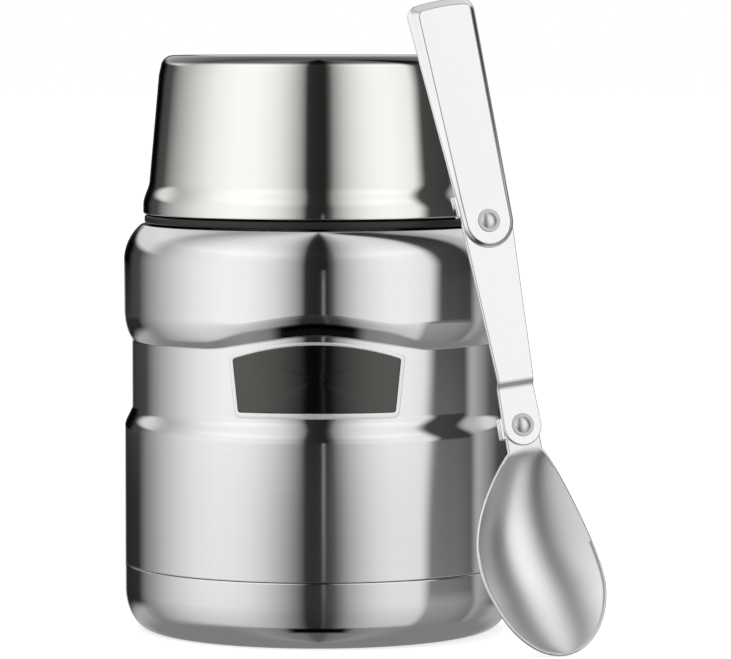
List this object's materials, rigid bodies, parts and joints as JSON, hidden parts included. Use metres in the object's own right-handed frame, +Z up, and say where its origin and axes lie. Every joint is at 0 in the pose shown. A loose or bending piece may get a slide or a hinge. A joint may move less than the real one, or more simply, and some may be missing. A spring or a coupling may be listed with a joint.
{
  "type": "insulated food jar with folding spoon",
  "caption": "Wide-mouth vacuum food jar in steel with a screw stopper, a double-walled lid that serves as a bowl, and a folding spoon standing beside it.",
  "frame": {"origin": "on the jar's axis, in the plane the jar stands on", "axes": "+Z up along the jar's axis, -Y towards the front, where the plate is, +X to the right as seen from the front"},
  "size_m": [0.1146, 0.1046, 0.1527],
  "materials": {
    "body_steel": "satin stainless steel, brushed round the body",
    "lid_steel": "satin stainless steel, finer and slightly warm",
    "inner_steel": "spun stainless steel with a dull sheen",
    "spoon_steel": "polished stainless steel",
    "rivet_steel": "polished steel rivet",
    "black_plastic": "fine-textured black polypropylene",
    "plate_dark": "dark glossy enamel on a thin plate",
    "frame_pale": "pale glossy frame",
    "seal_rubber": "translucent silicone",
    "foam": "rigid insulating foam",
    "foil_copper": "bright copper foil",
    "getter_metal": "dull sintered metal",
    "seal_glass": "brazing alloy"
  },
  "bodies": {
    "jar": {"outer_shell": "body_steel", "neck_ring": "body_steel", "mouth_ring": "inner_steel", "inner_vessel": "inner_steel", "radiation_foil": "foil_copper", "getter": "getter_metal", "base_cap": "body_steel", "base_disc": "body_steel", "seal_plug": "seal_glass", "plate": "plate_dark", "plate_frame": "frame_pale"},
    "stopper_seal": {"stopper_gasket": "seal_rubber"},
    "stopper": {"stopper_cup": "black_plastic", "stopper_foam": "foam", "stopper_plug": "black_plastic"},
    "lid_thread": {"lid_ring": "black_plastic"},
    "lid": {"lid_shell": "lid_steel", "lid_liner": "inner_steel", "liner_floor": "inner_steel"},
    "spoon_top": {"spoon_handle": "spoon_steel", "handle_rivet": "rivet_steel", "handle_washer": "rivet_steel"},
    "spoon_middle": {"spoon_link": "spoon_steel", "link_rivet": "rivet_steel", "link_washer": "rivet_steel"},
    "spoon_end": {"spoon_bowl": "spoon_steel"}
  },
  "joints": [
    {"name": "stopper_lift", "type": "slide", "parent": "jar", "child": "stopper_seal", "axis": [0, 0, 1], "range_m": [0, 0.06]},
    {"name": "stopper_turn", "type": "hinge", "parent": "stopper_seal", "child": "stopper", "pos_m": [0, 0, 0.105], "axis": [0, 0, 1], "range_deg": [0, 400]},
    {"name": "lid_lift", "type": "slide", "parent": "stopper", "child": "lid_thread", "axis": [0, 0, 1], "range_m": [0, 0.06]},
    {"name": "lid_turn", "type": "hinge", "parent": "lid_thread", "child": "lid", "pos_m": [0, 0, 0.12], "axis": [0, 0, 1], "range_deg": [0, 300]},
    {"name": "spoon_lift", "type": "slide", "parent": "jar", "child": "spoon_top", "axis": [0.4504, -0.6006, 0.6606], "range_m": [0, 0.07]},
    {"name": "link_fold", "type": "hinge", "parent": "spoon_top", "child": "spoon_middle", "pos_m": [0.0397, -0.0423, 0.10045], "axis": [0.3031, -0.9329, 0.1942], "range_deg": [0, 178]},
    {"name": "bowl_fold", "type": "hinge", "parent": "spoon_middle", "child": "spoon_end", "pos_m": [0.04822, -0.04928, 0.05362], "axis": [0.3031, -0.9329, 0.1942], "range_deg": [0, 175]}
  ]
}
